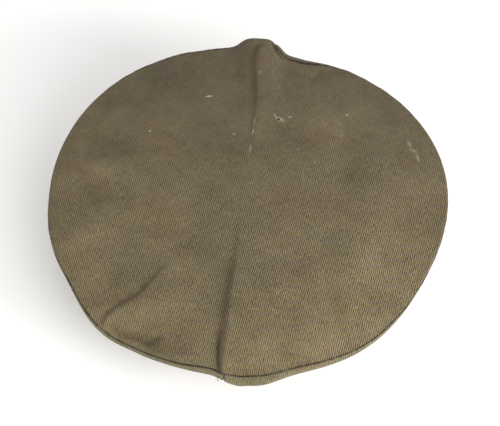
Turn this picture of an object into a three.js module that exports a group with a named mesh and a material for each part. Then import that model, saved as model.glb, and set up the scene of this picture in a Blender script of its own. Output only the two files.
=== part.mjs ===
// A soft khaki trench cap, lying as it rests on a table with nothing inside it.
// Its round crown top is one disc of twill, sewn along a rolled edge to four quarters,
// which turn in underneath to an oval head band with a stitched cloth peak at the front.
// Millimetres, +Z up, +Y towards the peak, +X towards the wearer's right.
// The origin is the middle of the cap's outline, on the table.
import * as THREE from 'three';
import { mergeVertices } from 'three/addons/utils/BufferGeometryUtils.js';

// Cloth and seams
const CLOTH = 1.4;
const EDGE_FOLD_RADIUS = 1.0;
const SEAM_GAP = 0.3;

// Head band
const HEAD_LENGTH = 186;
const HEAD_WIDTH = 177;
const BAND_WALL = 2.4;
const BAND_HEIGHT = 40;
const BAND_FLARE = 2.5;
const BAND_SOFTNESS = 2.2;
// The band lies flat on the table behind LIFT_START and rises from there to the peak.
const FRONT_LIFT = 20;
const LIFT_START = -10;

// Crown top
const CROWN_WIDTH = 287;
const CROWN_FRONT = 128.5;
const CROWN_BACK = 134.5;
const CROWN_SQUARENESS = 2.13;
const CROWN_TILT = 6;
const CROWN_DROOP = 5;
const CROWN_DOME = 5;
const EDGE_WAVE = 10;
const CREASE_RISE = 5;

// Quarters, from the rolled edge down to the band
const QUARTER_RISE = 28;
const QUARTER_BULGE = 24;
const SHOULDER_SLOPE = 56;
const FOOT_SLOPE = 24;
const PUCKER_DEPTH = 3;

// Peak
const PEAK_DEPTH = 46;
const PEAK_SPREAD = 62;
const PEAK_THICKNESS = 3;
const PEAK_END = 4;
const PEAK_ARCH = 2.5;
const PEAK_GAP = 0.4;

// Number of steps in each surface. A turn has its stations closer together at front and back.
const TURN_STEPS = 96;
const STATION_CROWDING = 0.4;
const CROWN_RINGS = 12;
const ROLL_STEPS = 4;
const QUARTER_STEPS = 5;
const BAND_STEPS = 2;
const PEAK_TURN_STEPS = 26;
const PEAK_DEPTH_STEPS = 5;

const { degToRad, radToDeg, smoothstep, clamp, lerp } = THREE.MathUtils;

// Where the crown's outline leaves its plain oval. Angles in degrees, from the wearer's right
// towards the front; reach and lift are shares of EDGE_WAVE, lip is a share of the edge's own roll.
const EDGE_FEATURES = [
  { place: 'right side, full', angle: 19, spread: 27, power: 2, reach: 0.38, lift: 0, lip: 0 },
  { place: 'right front, drawn in', angle: 66, spread: 14, power: 2, reach: -0.24, lift: 0, lip: 0 },
  { place: 'tuck beside the front seam', angle: 77, spread: 7, power: 2, reach: -0.12, lift: -0.1, lip: 0.3 },
  { place: 'front seam, stood up', angle: 92, spread: 7, power: 4, reach: 0.2, lift: 0.9, lip: 0 },
  { place: 'left front, drawn in', angle: 113, spread: 12, power: 2, reach: -0.12, lift: 0, lip: 0 },
  { place: 'left side, lifted', angle: 160, spread: 26, power: 2, reach: 0, lift: 0.1, lip: 0 },
  { place: 'left back, drawn in', angle: 211, spread: 11, power: 2, reach: -0.3, lift: 0, lip: 0 },
  { place: 'left back corner', angle: 231, spread: 9, power: 2, reach: 0.19, lift: -0.1, lip: 0.1 },
  { place: 'back seam, pushed out', angle: 272.2, spread: 4.2, power: 3, reach: 0.25, lift: 0, lip: 0.2 },
  { place: 'bulge beside the back seam', angle: 279.5, spread: 8.5, power: 2, reach: 0.5, lift: -0.17, lip: 0.62 },
  { place: 'right of the back seam', angle: 300, spread: 9, power: 2, reach: -0.04, lift: 0, lip: 0.2 },
  { place: 'right back, drawn in', angle: 338, spread: 20, power: 2, reach: -0.45, lift: 0, lip: 0 },
];

// How far round the roll the edge seam lies, by the angle round the crown, all in degrees: 0 faces
// out, 90 faces up. It runs along the outside at both sides and on top beside the front and back seams.
const SEAM_TURNS = [
  [0, 5],
  [24, 12],
  [48, 42],
  [64, 50],
  [71, 100],
  [78, 116],
  [86, 124],
  [89, 30],
  [98, 24],
  [105, 66],
  [130, 54],
  [154, 16],
  [180, 5],
  [200, 14],
  [214, 46],
  [232, 64],
  [254, 76],
  [265, 124],
  [269, 90],
  [273, 114],
  [288, 112],
  [304, 84],
  [322, 62],
  [340, 18],
  [360, 5],
];

// Creases of the crown top. Ends are shares of the crown's half width, rise a share of CREASE_RISE.
// Each crease is a crest that falls away over its left and right widths, looking from start to end.
const CREASES = [
  { name: 'front fold', start: [-0.02, 0.88], end: [0, 0.28], rise: 0.5, left: 0.1, right: 0.04 },
  { name: 'back fold', start: [-0.01, -0.93], end: [0, -0.14], rise: 0.7, left: 0.04, right: 0.28 },
  { name: 'left back crease', start: [-0.62, -0.73], end: [-0.3, -0.35], rise: 0.38, left: 0.04, right: 0.12 },
  { name: 'left front crease', start: [-0.4, 0.93], end: [-0.6, 0.39], rise: 0.3, left: 0.12, right: 0.06 },
  { name: 'right front crease', start: [0.41, 0.9], end: [0.51, 0.48], rise: 0.25, left: 0.1, right: 0.07 },
  { name: 'right front hollow', start: [0.43, 0.52], end: [0.5, 0.08], rise: -0.25, left: 0.08, right: 0.1 },
  { name: 'upper left wave', start: [-1.02, 0.04], end: [-0.5, 0.22], rise: 0.35, left: 0.12, right: 0.08 },
  { name: 'lower left wave', start: [-1, -0.37], end: [-0.45, 0.03], rise: 0.3, left: 0.1, right: 0.07 },
  { name: 'right back swell', start: [0.6, 0.06], end: [0.34, -0.72], rise: 0.6, left: 0.18, right: 0.21 },
  { name: 'back left ripple', start: [-0.59, -0.73], end: [-0.25, -0.79], rise: -0.35, left: 0.04, right: 0.04 },
  { name: 'pocket at the tuck', start: [0.08, 0.88], end: [0.3, 0.82], rise: -0.32, left: 0.04, right: 0.045 },
];

// Dents and swells of the quarters: angle and spread in degrees, lean in degrees from edge to band,
// push a share of PUCKER_DEPTH, outwards if positive.
const QUARTER_PUCKERS = [
  { angle: 20, spread: 5, lean: 8, push: -0.8 },
  { angle: 38, spread: 4, lean: -6, push: 0.6 },
  { angle: 66, spread: 5, lean: 7, push: -0.6 },
  { angle: 108, spread: 5, lean: -8, push: -0.7 },
  { angle: 140, spread: 6, lean: 9, push: 0.7 },
  { angle: 158, spread: 5, lean: -7, push: -0.9 },
  { angle: 197, spread: 6, lean: 6, push: -0.7 },
  { angle: 221, spread: 5, lean: 9, push: 0.9 },
  { angle: 240, spread: 4, lean: -9, push: -0.8 },
  { angle: 292, spread: 5, lean: 8, push: -0.9 },
  { angle: 318, spread: 6, lean: -6, push: 0.8 },
  { angle: 342, spread: 5, lean: 7, push: -0.7 },
];

// Soft places of the band: push is a share of BAND_SOFTNESS, outwards if positive.
const BAND_DENTS = [
  { angle: 12, spread: 22, push: -0.7 },
  { angle: 128, spread: 20, push: 0.5 },
  { angle: 205, spread: 24, push: -1 },
  { angle: 262, spread: 18, push: 0.8 },
  { angle: 322, spread: 20, push: 0.6 },
];

// The four quarters meet at seams on the right, front, left and back.
const QUARTERS = [
  { name: 'quarter_front_right', from: 0 },
  { name: 'quarter_front_left', from: 90 },
  { name: 'quarter_back_left', from: 180 },
  { name: 'quarter_back_right', from: 270 },
];

const FRONT = Math.PI / 2;
const TURN = 2 * Math.PI;
const ROLL_RADIUS = EDGE_FOLD_RADIUS + CLOTH;
const CROWN_EDGE_TURN = degToRad(15);
const HALF_CROWN = CROWN_WIDTH / 2;

// A bump of height 1 at an angle, with both angles in degrees, flat topped at a high power.
function bell(degrees, centre, spread, power = 2) {
  const away = THREE.MathUtils.euclideanModulo(degrees - centre + 180, 360) - 180;
  return Math.exp(-Math.pow(Math.abs(away / spread), power));
}

function sumOf(rows, degrees, key) {
  return rows.reduce((sum, row) => sum + row[key] * bell(degrees, row.angle, row.spread, row.power), 0);
}

// The distance from the centre to an oval at an angle. A power of 2 is an ellipse, more is squarer.
function ovalRadius(angle, halfWidth, halfLength, power = 2) {
  const across = Math.pow(Math.abs(Math.cos(angle)) / halfWidth, power);
  const along = Math.pow(Math.abs(Math.sin(angle)) / halfLength, power);
  return Math.pow(across + along, -1 / power);
}

// Crown edge

function lipRadius(angle) {
  return ROLL_RADIUS * (1 + sumOf(EDGE_FEATURES, radToDeg(angle), 'lip'));
}

// The outermost reach of the rolled edge.
function edgeReach(angle) {
  const halfLength = Math.sin(angle) > 0 ? CROWN_FRONT : CROWN_BACK;
  const plain = ovalRadius(angle, HALF_CROWN, halfLength, CROWN_SQUARENESS);
  return plain + EDGE_WAVE * sumOf(EDGE_FEATURES, radToDeg(angle), 'reach');
}

// Where the seam lies round the roll, eased from one of SEAM_TURNS to the next.
function seamTurn(angle) {
  const degrees = THREE.MathUtils.euclideanModulo(radToDeg(angle), 360);
  const after = SEAM_TURNS.findIndex(([at]) => at > degrees);
  const [startAt, startTurn] = SEAM_TURNS[after - 1];
  const [endAt, endTurn] = SEAM_TURNS[after];
  return degToRad(lerp(startTurn, endTurn, smoothstep(degrees, startAt, endAt)));
}

// Height of a crease at a point of the crown top, as shares of the half width.
function creaseHeight(crease, x, y) {
  const alongX = crease.end[0] - crease.start[0];
  const alongY = crease.end[1] - crease.start[1];
  const length = Math.hypot(alongX, alongY);
  const share = ((x - crease.start[0]) * alongX + (y - crease.start[1]) * alongY) / length ** 2;
  const toTheRight = ((x - crease.start[0]) * alongY - (y - crease.start[1]) * alongX) / length;
  const width = toTheRight > 0 ? crease.right : crease.left;
  const fadeIn = smoothstep(share, -0.07, 0.1);
  const fadeOut = 1 - smoothstep(share, 0.45, 1.15);
  return crease.rise * fadeIn * fadeOut * Math.exp(-((toTheRight / width) ** 2));
}

// The level of the crown's cloth over a point of the table, before its edge turns down.
// share is 0 at the centre and 1 at the top of the rolled edge.
function crownLevel(angle, radius, share) {
  const x = radius * Math.cos(angle);
  const y = radius * Math.sin(angle);
  const base = BAND_HEIGHT + QUARTER_RISE + FRONT_LIFT / 2;
  const tilt = y * Math.tan(degToRad(CROWN_TILT));
  const droop = -CROWN_DROOP * Math.cos(angle) ** 2 * share ** 2;
  const wave = EDGE_WAVE * sumOf(EDGE_FEATURES, radToDeg(angle), 'lift') * share ** 5;
  const dome = CROWN_DOME * (1 - share ** 3);
  const creased = CREASES.reduce((sum, c) => sum + creaseHeight(c, x / HALF_CROWN, y / HALF_CROWN), 0);
  return base + tilt + droop + wave + dome + CREASE_RISE * creased;
}

// The centre line of the rolled edge, as a radius and a height.
function rollCentre(angle) {
  const radius = edgeReach(angle) - lipRadius(angle);
  return new THREE.Vector2(radius, crownLevel(angle, radius, 1) - lipRadius(angle));
}

// A point at an angle, from a radius and a height.
function placed(angle, profile) {
  return new THREE.Vector3(profile.x * Math.cos(angle), profile.x * Math.sin(angle), profile.y);
}

function onRoll(angle, turn) {
  const centre = rollCentre(angle);
  const radius = lipRadius(angle);
  return new THREE.Vector2(centre.x + radius * Math.cos(turn), centre.y + radius * Math.sin(turn));
}

// The seam's two cloths keep SEAM_GAP between them on the inner side of the roll, the narrower one.
function seamHalfTurn(angle) {
  return SEAM_GAP / (lipRadius(angle) - CLOTH) / 2;
}

// Crown top, from its centre to the seam
function crownProfile(angle, step) {
  const end = seamTurn(angle) + seamHalfTurn(angle);
  const start = Math.max(Math.PI / 2, end + CROWN_EDGE_TURN);
  if (step > CROWN_RINGS) return onRoll(angle, lerp(start, end, (step - CROWN_RINGS) / 2));
  const edge = onRoll(angle, start);
  const share = step / CROWN_RINGS;
  const radius = share * edge.x;
  const sunk = edge.y - crownLevel(angle, edge.x, 1);
  return new THREE.Vector2(radius, crownLevel(angle, radius, share) + sunk * share ** 8);
}

// Band

function bandRadius(angle, share) {
  const inner = ovalRadius(angle, HEAD_WIDTH / 2, HEAD_LENGTH / 2);
  const soft = BAND_SOFTNESS * sumOf(BAND_DENTS, radToDeg(angle), 'push');
  return inner + BAND_WALL + (BAND_FLARE + soft) * share;
}

// Height of the band's lower rim over the table.
function rimHeight(angle) {
  const y = bandRadius(angle, 0) * Math.sin(angle);
  const share = clamp((y - LIFT_START) / (HEAD_LENGTH / 2 + BAND_WALL - LIFT_START), 0, 1);
  return FRONT_LIFT * share ** 2;
}

function bandPoint(angle, share, depth) {
  const radius = bandRadius(angle, share) - depth;
  return placed(angle, new THREE.Vector2(radius, rimHeight(angle) + share * BAND_HEIGHT));
}

// Quarter, from the seam round the roll and in to the band
function quarterProfile(angle, step) {
  const start = seamTurn(angle) - seamHalfTurn(angle);
  const finish = degToRad(SHOULDER_SLOPE - 90);
  if (step < ROLL_STEPS) return onRoll(angle, lerp(start, finish, step / ROLL_STEPS));
  const shoulder = onRoll(angle, finish);
  const foot = new THREE.Vector2(bandRadius(angle, 1), rimHeight(angle) + BAND_HEIGHT + SEAM_GAP);
  const reach = Math.min(QUARTER_BULGE, shoulder.distanceTo(foot) / 3);
  const down = new THREE.Vector2(-Math.cos(degToRad(SHOULDER_SLOPE)), -Math.sin(degToRad(SHOULDER_SLOPE)));
  const out = new THREE.Vector2(Math.cos(degToRad(FOOT_SLOPE)), Math.sin(degToRad(FOOT_SLOPE)));
  const curve = new THREE.CubicBezierCurve(
    shoulder,
    shoulder.clone().addScaledVector(down, reach),
    foot.clone().addScaledVector(out, reach),
    foot,
  );
  const share = (step - ROLL_STEPS) / QUARTER_STEPS;
  const degrees = radToDeg(angle);
  const pucker = QUARTER_PUCKERS.reduce(
    (sum, row) => sum + row.push * bell(degrees, row.angle + row.lean * share, row.spread),
    0,
  );
  const point = curve.getPoint(share);
  const tangent = curve.getTangent(share);
  const push = PUCKER_DEPTH * pucker * Math.sin(Math.PI * share) ** 2;
  return point.add(new THREE.Vector2(-tangent.y, tangent.x).multiplyScalar(push));
}

// Peak

// A section of the peak at an angle: where it leaves the band and how far it reaches.
function peakSection(angle) {
  const away = Math.min(1, Math.abs(radToDeg(angle - FRONT)) / PEAK_SPREAD);
  const fullness = Math.pow(1 - Math.pow(away, 2.4), 0.9);
  const depth = Math.max(PEAK_END, PEAK_DEPTH * fullness);
  const rim = rimHeight(angle);
  const drop = rim * Math.pow(fullness, 0.5);
  const level = Math.sqrt(Math.max(depth ** 2 - drop ** 2, 1));
  return { rim, drop, level };
}

// A point on the peak's upper face. share runs from the band to the outer edge.
function peakTop(angle, share) {
  const { rim, drop, level } = peakSection(angle);
  const root = placed(angle, new THREE.Vector2(bandRadius(angle, PEAK_THICKNESS / BAND_HEIGHT) + PEAK_GAP, 0));
  const normal = new THREE.Vector3(Math.cos(angle) / HEAD_WIDTH, Math.sin(angle) / HEAD_LENGTH, 0);
  const out = normal.normalize().lerp(new THREE.Vector3(0, 1, 0), 0.35).normalize();
  const arch = PEAK_ARCH * Math.sin(Math.PI * share) * Math.min(1, level / PEAK_DEPTH);
  return root.addScaledVector(out, level * share).setZ(rim - drop * share + arch + PEAK_THICKNESS);
}

// Walls

// The unit normal of a surface given by two parameters, pointing to the left of u, then v.
function normalOf(surface, u, v, stepU, stepV) {
  const alongU = surface(u + stepU, v).sub(surface(u - stepU, v));
  const alongV = surface(u, v + stepV).sub(surface(u, v - stepV));
  return alongU.cross(alongV).normalize();
}

// A closed wall between two grids of points, columns[i][j] on each face. The outer face is seen
// with i running to the left and j running down. Where the columns go all the way round, the last
// meets the first; otherwise both ends are closed. A face that has shrunk to a line is left out.
function wallGeometry(outer, inner, goesRound) {
  const points = [];
  const triangle = (a, b, c) => {
    const same = (p, q) => p.distanceToSquared(q) < 1e-10;
    if (!same(a, b) && !same(b, c) && !same(c, a)) points.push(a, b, c);
  };
  const quad = (a, b, c, d) => {
    triangle(a, b, c);
    triangle(a, c, d);
  };
  const columns = outer.length;
  const rows = outer[0].length;
  const spans = goesRound ? columns : columns - 1;
  for (let i = 0; i < spans; i++) {
    const k = (i + 1) % columns;
    for (let j = 0; j < rows - 1; j++) {
      quad(outer[i][j], outer[i][j + 1], outer[k][j + 1], outer[k][j]);
      quad(inner[i][j], inner[k][j], inner[k][j + 1], inner[i][j + 1]);
    }
    quad(outer[i][0], outer[k][0], inner[k][0], inner[i][0]);
    quad(outer[k][rows - 1], outer[i][rows - 1], inner[i][rows - 1], inner[k][rows - 1]);
  }
  if (!goesRound) {
    for (let j = 0; j < rows - 1; j++) {
      quad(outer[0][j + 1], outer[0][j], inner[0][j], inner[0][j + 1]);
      quad(outer[spans][j], outer[spans][j + 1], inner[spans][j + 1], inner[spans][j]);
    }
  }
  const geometry = new THREE.BufferGeometry().setFromPoints(points);
  const merged = mergeVertices(geometry, 1e-4);
  merged.computeVertexNormals();
  return merged;
}

// A grid of points, from a function of the column and the row.
function grid(columns, rows, point) {
  return Array.from({ length: columns }, (_, i) => Array.from({ length: rows }, (_, j) => point(i, j)));
}

// The angle of a station: closer together near the front and back, where the crown is creased.
function stationAngle(step, steps = TURN_STEPS) {
  const even = (step / steps) * TURN;
  return even + (STATION_CROWDING / 2) * Math.sin(2 * even);
}

// Materials

const twill = new THREE.MeshStandardMaterial({ color: 0x75694f, roughness: 0.95, metalness: 0 });
const stitchedTwill = new THREE.MeshStandardMaterial({ color: 0x71664c, roughness: 0.95, metalness: 0 });

function named(name, geometry, material) {
  const mesh = new THREE.Mesh(geometry, material);
  mesh.name = name;
  return mesh;
}

// Sub-parts

const NUDGE = 1e-3;

function makeCrownTop() {
  const rows = CROWN_RINGS + 3;
  const surface = (angle, step) => placed(angle, crownProfile(angle, step));
  const outer = grid(TURN_STEPS, rows, (i, j) => surface(stationAngle(i), j));
  const centre = outer[0][0].clone();
  const inner = grid(TURN_STEPS, rows, (i, j) => {
    if (j === 0) return centre.clone().setZ(centre.z - CLOTH);
    const angle = stationAngle(i);
    const normal = normalOf(surface, angle, Math.min(j, rows - 1 - NUDGE), NUDGE, -NUDGE);
    return outer[i][j].clone().addScaledVector(normal, -CLOTH);
  });
  return named('crown_top', wallGeometry(outer, inner, true), twill);
}

// A quarter's stations lie between its seams, half a gap inside each, whatever the radius.
function makeQuarter({ name, from }) {
  const steps = TURN_STEPS / 4;
  const first = (from / 360) * TURN_STEPS;
  const rows = ROLL_STEPS + QUARTER_STEPS + 1;
  const surface = (angle, step) => placed(angle, quarterProfile(angle, step));
  const angleAt = (i, j) => {
    const angle = stationAngle(first + i);
    const gap = SEAM_GAP / 2 / (quarterProfile(angle, j).x - CLOTH);
    return angle + gap * (1 - (2 * i) / steps);
  };
  const outer = grid(steps + 1, rows, (i, j) => surface(angleAt(i, j), j));
  const inner = grid(steps + 1, rows, (i, j) => {
    const angle = angleAt(i, j);
    if (j === rows - 1) {
      const foot = quarterProfile(angle, j);
      return placed(angle, foot.setX(foot.x - CLOTH));
    }
    const normal = normalOf(surface, angle, Math.max(j, NUDGE), NUDGE, -NUDGE);
    return outer[i][j].clone().addScaledVector(normal, -CLOTH);
  });
  return named(name, wallGeometry(outer, inner, false), twill);
}

function makeBand() {
  const share = (j) => 1 - j / BAND_STEPS;
  const outer = grid(TURN_STEPS, BAND_STEPS + 1, (i, j) => bandPoint(stationAngle(i), share(j), 0));
  const inner = grid(TURN_STEPS, BAND_STEPS + 1, (i, j) => bandPoint(stationAngle(i), share(j), BAND_WALL));
  return named('band', wallGeometry(outer, inner, true), twill);
}

function makePeak() {
  const rows = PEAK_DEPTH_STEPS + 1;
  const angleAt = (i) => FRONT + degToRad(PEAK_SPREAD) * ((2 * i) / PEAK_TURN_STEPS - 1);
  const outer = grid(PEAK_TURN_STEPS + 1, rows, (i, j) => peakTop(angleAt(i), j / PEAK_DEPTH_STEPS));
  const inner = outer.map((column) => column.map((p) => p.clone().setZ(p.z - PEAK_THICKNESS)));
  return named('peak', wallGeometry(outer, inner, false), stitchedTwill);
}

const cap = new THREE.Group();
cap.add(makeCrownTop(), ...QUARTERS.map(makeQuarter), makeBand(), makePeak());

// The finished cap is moved so that the middle of its outline is the origin.
const outline = new THREE.Box3().setFromObject(cap);
const middle = outline.getCenter(new THREE.Vector3());
cap.position.set(-middle.x, -middle.y, -outline.min.z);

export default cap;
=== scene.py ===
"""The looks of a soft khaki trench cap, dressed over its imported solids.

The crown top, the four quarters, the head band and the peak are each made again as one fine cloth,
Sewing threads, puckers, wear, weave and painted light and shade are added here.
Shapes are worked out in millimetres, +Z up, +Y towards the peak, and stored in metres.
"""

import math

import bmesh
import bpy
import numpy as np
from mathutils import Matrix, Vector, noise


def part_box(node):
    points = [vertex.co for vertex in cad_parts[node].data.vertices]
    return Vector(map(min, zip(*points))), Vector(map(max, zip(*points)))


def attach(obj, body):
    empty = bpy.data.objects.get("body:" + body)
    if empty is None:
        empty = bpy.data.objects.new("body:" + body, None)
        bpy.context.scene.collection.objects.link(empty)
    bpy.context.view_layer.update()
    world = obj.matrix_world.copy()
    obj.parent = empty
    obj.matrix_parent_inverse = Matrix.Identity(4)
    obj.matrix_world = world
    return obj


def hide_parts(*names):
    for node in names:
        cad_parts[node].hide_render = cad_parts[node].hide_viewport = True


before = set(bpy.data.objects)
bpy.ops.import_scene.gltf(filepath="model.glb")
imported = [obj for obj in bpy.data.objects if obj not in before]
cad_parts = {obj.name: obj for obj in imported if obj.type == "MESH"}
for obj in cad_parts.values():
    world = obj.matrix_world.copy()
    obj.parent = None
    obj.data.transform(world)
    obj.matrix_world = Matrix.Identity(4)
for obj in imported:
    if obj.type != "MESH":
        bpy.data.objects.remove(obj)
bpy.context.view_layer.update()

MM = 0.001

# Sizes of the cap, in millimetres, as its solids have them

HEAD_LENGTH = 186
HEAD_WIDTH = 177
BAND_WALL = 2.4
BAND_HEIGHT = 40
BAND_FLARE = 2.5
BAND_SOFTNESS = 2.2
FRONT_LIFT = 20
LIFT_START = -10

CROWN_WIDTH = 287
CROWN_FRONT = 128.5
CROWN_BACK = 134.5
CROWN_SQUARENESS = 2.13
CROWN_TILT = 6
CROWN_DROOP = 5
CROWN_DOME = 5
EDGE_WAVE = 10
ROLL_RADIUS = 2.4
HALF_CROWN = CROWN_WIDTH / 2

QUARTER_RISE = 28
QUARTER_BULGE = 24
SHOULDER_SLOPE = 56
FOOT_SLOPE = 24
PUCKER_DEPTH = 3

PEAK_DEPTH = 46
PEAK_SPREAD = 62
PEAK_THICKNESS = 3
PEAK_END = 4
PEAK_ARCH = 2.5
PEAK_GAP = 0.4

# Cloth and sewing
CLOTH = 1.0
GROOVE_WIDTH = 0.45
GROOVE_DEPTH = 1.9
SEAM_WIDTH = 1.1
SEAM_DEPTH = 1.3
THREAD_RADIUS = 0.28
STITCH_LENGTH = 1.8
STITCH_PITCH = 2.3

# Where the crown's outline leaves its plain oval: angle, spread, power, reach, lift, lip
EDGE_FEATURES = (
    (19, 27, 2, 0.38, 0, 0),
    (66, 14, 2, -0.24, 0, 0),
    (77, 7, 2, -0.12, -0.1, 0.3),
    (92, 7, 4, 0.2, 0.9, 0),
    (113, 12, 2, -0.12, 0, 0),
    (160, 26, 2, 0, 0.1, 0),
    (211, 11, 2, -0.3, 0, 0),
    (231, 9, 2, 0.19, -0.1, 0.1),
    (272.2, 4.2, 3, 0.25, 0, 0.2),
    (279.5, 8.5, 2, 0.5, -0.17, 0.62),
    (300, 9, 2, -0.04, 0, 0.2),
    (338, 20, 2, -0.45, 0, 0),
)

# Where the edge seam runs round the roll: angle, and its turn from facing out to facing up
SEAM_TURNS = (
    (0, 5), (24, 12), (48, 42), (64, 50), (71, 100), (78, 116), (86, 124), (89, 30), (98, 24), (105, 66),
    (130, 54), (154, 16),
    (180, 5), (200, 14), (214, 46), (232, 64), (254, 76), (265, 124), (269, 90), (273, 114), (288, 112), (304, 84),
    (322, 62), (340, 18), (360, 5),
)

# Creases of the crown top. Each path is in shares of the half width. The crest rises by the first
# length and falls away to the left and to the right of the path by the other two.
CREASES = (
    (((-0.004, 0.87), (-0.026, 0.84), (-0.034, 0.8), (-0.03, 0.74), (-0.014, 0.64), (-0.002, 0.52), (-0.002, 0.28)), 2.6, 12, 2.4),
    (((0.14, 0.93), (0.12, 0.75), (0.1, 0.55)), -0.9, 7, 7),
    (((-0.01, -0.92), (-0.005, -0.8), (-0.006, -0.67), (-0.008, -0.57), (-0.005, -0.4), (-0.003, -0.14)), 3.9, 3.2, 40),
    (((-0.03, -0.9), (-0.037, -0.84), (-0.042, -0.78), (-0.04, -0.68)), -1.5, 1.8, 1.2),
    (((-0.625, -0.735), (-0.595, -0.675), (-0.54, -0.626), (-0.47, -0.578), (-0.42, -0.52), (-0.38, -0.45), (-0.3, -0.35)), 1.9, 1.6, 15),
    (((-0.62, -0.68), (-0.56, -0.635), (-0.49, -0.59)), -0.7, 3.0, 1.2),
    (((-0.4, 0.93), (-0.48, 0.66), (-0.6, 0.39)), 1.5, 17, 7),
    (((0.41, 0.9), (0.46, 0.7), (0.51, 0.48)), 1.3, 13, 7),
    (((0.3, 0.76), (0.35, 0.67), (0.41, 0.57)), -1.0, 5, 4),
    (((0.43, 0.52), (0.5, 0.08)), -1.25, 11, 14),
    (((-1.02, 0.04), (-0.76, 0.11), (-0.5, 0.22)), 1.9, 17, 8),
    (((-0.88, 0.2), (-0.73, 0.26), (-0.6, 0.33)), -1.3, 7, 7),
    (((-1, -0.37), (-0.7, -0.2), (-0.45, 0.03)), 1.7, 12, 8),
    (((0.62, 0.06), (0.535, -0.14), (0.5, -0.4), (0.37, -0.68), (0.1, -0.85)), 3.0, 26, 30),
    (((-0.59, -0.72), (-0.535, -0.765), (-0.46, -0.775), (-0.4, -0.797), (-0.34, -0.772), (-0.29, -0.763), (-0.25, -0.775)), -2.1, 2.4, 3.4),
    (((-0.42, -0.815), (-0.38, -0.825), (-0.3, -0.835), (-0.18, -0.83)), -2.2, 3.2, 4.5),
    (((0.08, 0.88), (0.2, 0.86), (0.3, 0.82)), -1.6, 5, 6.5),
    (((0.04, 0.89), (0.052, 0.86), (0.075, 0.845), (0.12, 0.85)), -2.6, 1.6, 2.2),
    (((0.3, 0.79), (0.26, 0.73), (0.24, 0.66)), -1.0, 2.2, 3.5),
    (((0.1, -0.72), (0.13, -0.8), (0.15, -0.86)), -0.8, 2.2, 3.5),
    (((0.47, -0.5), (0.54, -0.62), (0.61, -0.75)), -1.0, 3, 6),
    (((0.6, -0.52), (0.63, -0.64), (0.64, -0.72)), -0.8, 3, 5),
    (((0.93, -0.12), (0.8, -0.2), (0.66, -0.22)), -1.0, 5, 8),
    (((-0.93, -0.1), (-0.82, -0.08), (-0.7, -0.02)), -1.0, 4, 7),
)

# Dirt and painted shade caught in the sharpest creases: path, depth, width in millimetres
SHADED_AND_SOILED_CREASES = (
    (((-0.022, -0.93), (-0.034, -0.88), (-0.043, -0.82), (-0.045, -0.76), (-0.038, -0.6), (-0.028, -0.42)), 0.3, 2.6),
    (((-0.02, -0.935), (-0.033, -0.89), (-0.042, -0.83), (-0.045, -0.77)), 0.5, 1.0),
    (((-0.63, -0.72), (-0.6, -0.665), (-0.55, -0.622), (-0.49, -0.585), (-0.44, -0.53)), 0.28, 2.6),
    (((-0.58, -0.735), (-0.535, -0.773), (-0.459, -0.785), (-0.402, -0.807), (-0.34, -0.782)), 0.32, 2.6),
    (((-0.4, -0.81), (-0.37, -0.822), (-0.33, -0.83)), 0.25, 5),
    (((0.042, 0.885), (0.054, 0.86), (0.072, 0.85)), 0.8, 1.2),
    (((-0.02, 0.862), (-0.04, 0.835), (-0.047, 0.79), (-0.043, 0.7), (-0.03, 0.62)), 0.22, 3),
)

# Dents and swells of the quarters: angle, spread, lean, push
QUARTER_PUCKERS = (
    (20, 5, 8, -0.8), (38, 4, -6, 0.6), (66, 5, 7, -0.6), (108, 5, -8, -0.7), (140, 6, 9, 0.7),
    (158, 5, -7, -0.9), (197, 6, 6, -0.7), (221, 5, 9, 0.9), (240, 4, -9, -0.8), (292, 5, 8, -0.9),
    (318, 6, -6, 0.8), (342, 5, 7, -0.7),
)

# Soft places of the band: angle, spread, push
BAND_DENTS = ((12, 22, -0.7), (128, 20, 0.5), (205, 24, -1), (262, 18, 0.8), (322, 20, 0.6))

QUARTERS = (
    ("quarter_front_right", 0),
    ("quarter_front_left", 90),
    ("quarter_back_left", 180),
    ("quarter_back_right", 270),
)


# Shape of the cap. Angles are arrays in radians, from the wearer's right towards the front.

def bell(degrees, centre, spread, power=2):
    away = (degrees - centre + 180) % 360 - 180
    return np.exp(-np.abs(away / spread) ** power)


def smooth(value, low, high):
    share = np.clip((value - low) / (high - low), 0, 1)
    return share * share * (3 - 2 * share)


def blend(a, b, share):
    return a + (b - a) * share


def edge_sum(angle, column):
    degrees = np.degrees(angle)
    return sum(row[column] * bell(degrees, *row[:3]) for row in EDGE_FEATURES)


def oval_radius(angle, half_width, half_length, power=2.0):
    across = np.abs(np.cos(angle) / half_width) ** power
    along = np.abs(np.sin(angle) / half_length) ** power
    return (across + along) ** (-1 / power)


def lip_radius(angle):
    return ROLL_RADIUS * (1 + edge_sum(angle, 5))


def edge_reach(angle):
    half_length = np.where(np.sin(angle) > 0, CROWN_FRONT, CROWN_BACK)
    plain = oval_radius(angle, HALF_CROWN, half_length, CROWN_SQUARENESS)
    return plain + EDGE_WAVE * edge_sum(angle, 3)


def seam_turn(angle):
    """Eased from one of SEAM_TURNS to the next."""
    degrees = np.degrees(angle) % 360
    at, turns = np.array(SEAM_TURNS, float).T
    after = np.clip(np.searchsorted(at, degrees, side="right"), 1, len(at) - 1)
    share = (degrees - at[after - 1]) / (at[after] - at[after - 1])
    return np.radians(blend(turns[after - 1], turns[after], share * share * (3 - 2 * share)))


def rounded_path(knots, steps=8):
    """Points along a smooth curve through the knots, carried on straight past both ends."""
    knots = np.array(knots, float)
    knots = np.vstack([2 * knots[0] - knots[1], knots, 2 * knots[-1] - knots[-2]])
    spots = []
    for a, b, c, d in zip(knots, knots[1:], knots[2:], knots[3:]):
        for t in np.arange(steps) / steps:
            spots.append(0.5 * (2 * b + (c - a) * t + (2 * a - 5 * b + 4 * c - d) * t**2 + (3 * b - a - 3 * c + d) * t**3))
    return np.vstack([knots[0], spots, knots[-2], knots[-1]])


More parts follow.
